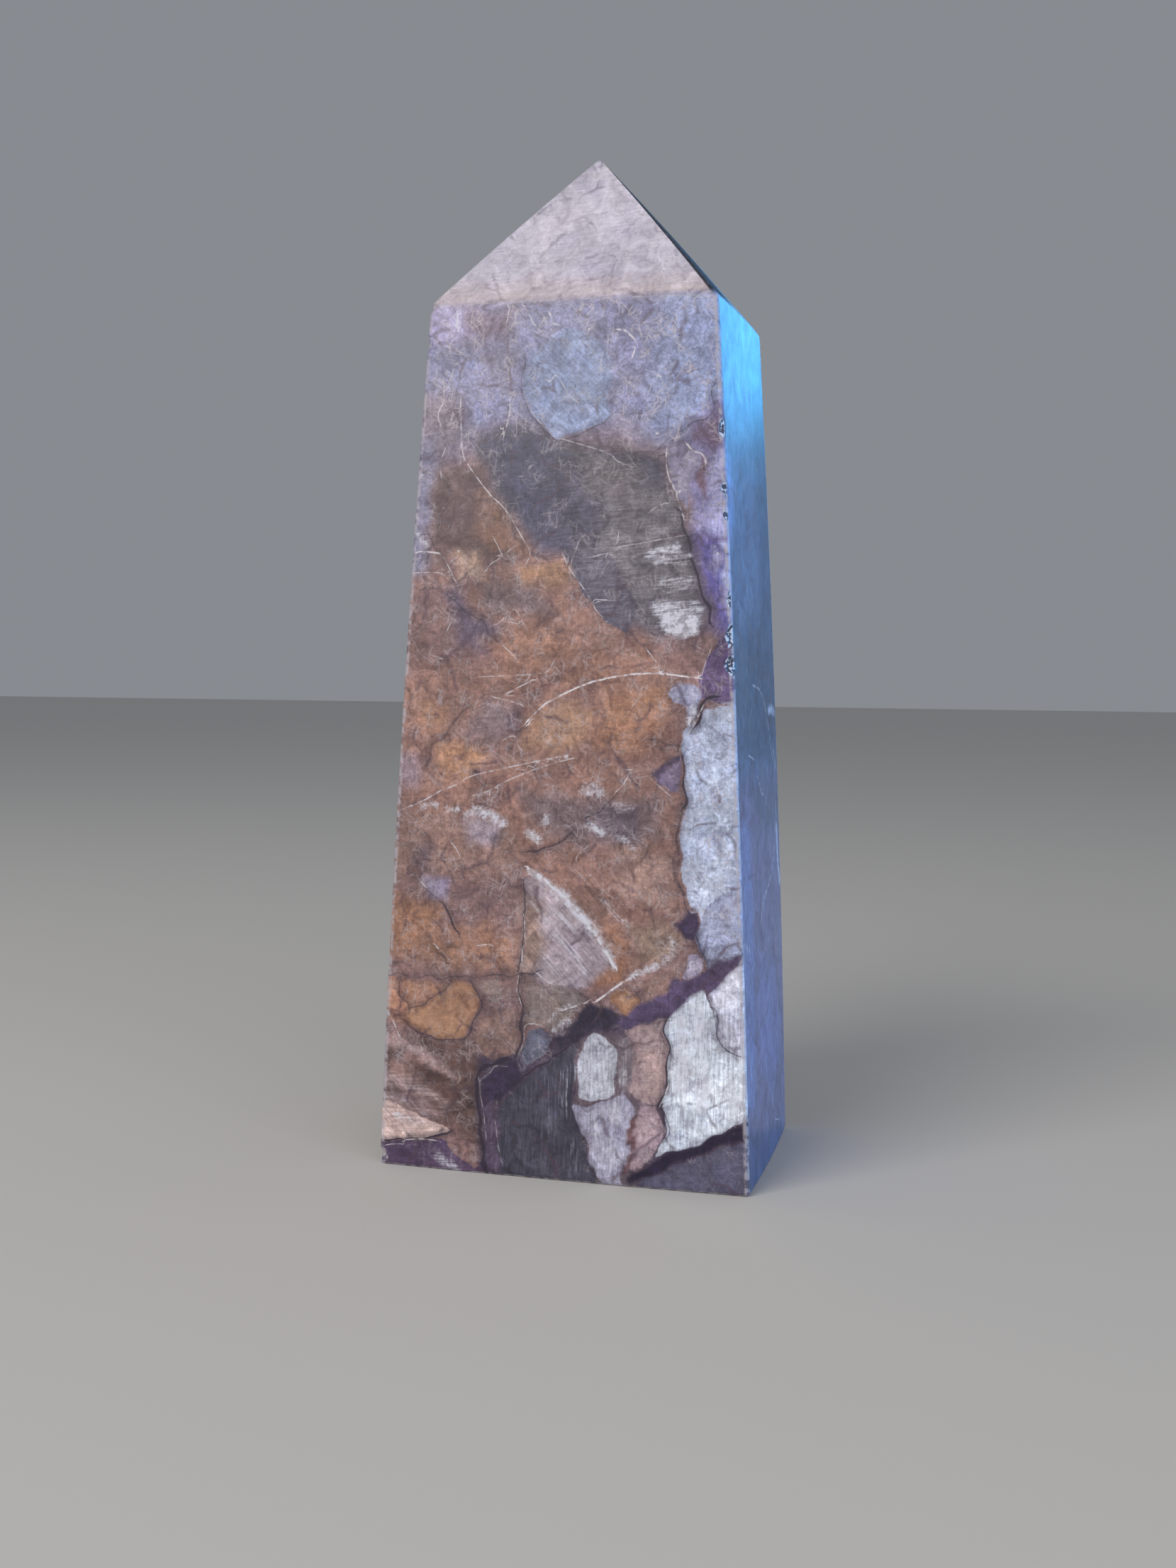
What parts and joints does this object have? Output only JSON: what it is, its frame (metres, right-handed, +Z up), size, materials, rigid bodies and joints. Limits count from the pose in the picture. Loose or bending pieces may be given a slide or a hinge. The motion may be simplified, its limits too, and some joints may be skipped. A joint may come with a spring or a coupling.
{
  "type": "lepidolite tower",
  "caption": "Polished mica-stone obelisk, a tapering four-sided tower with a pointed top and a flat sawn base to stand on.",
  "frame": {"origin": "middle of the flat base, on the surface the tower stands on", "axes": "+Z up through the point, X across the broad face, and the broad face towards -Y is the front"},
  "size_m": [0.0406, 0.0274, 0.1078],
  "materials": {
    "polished_lepidolite": "polished stone, satin to glossy"
  },
  "bodies": {
    "root": {"lepidolite_tower": "polished_lepidolite"}
  },
  "joints": []
}
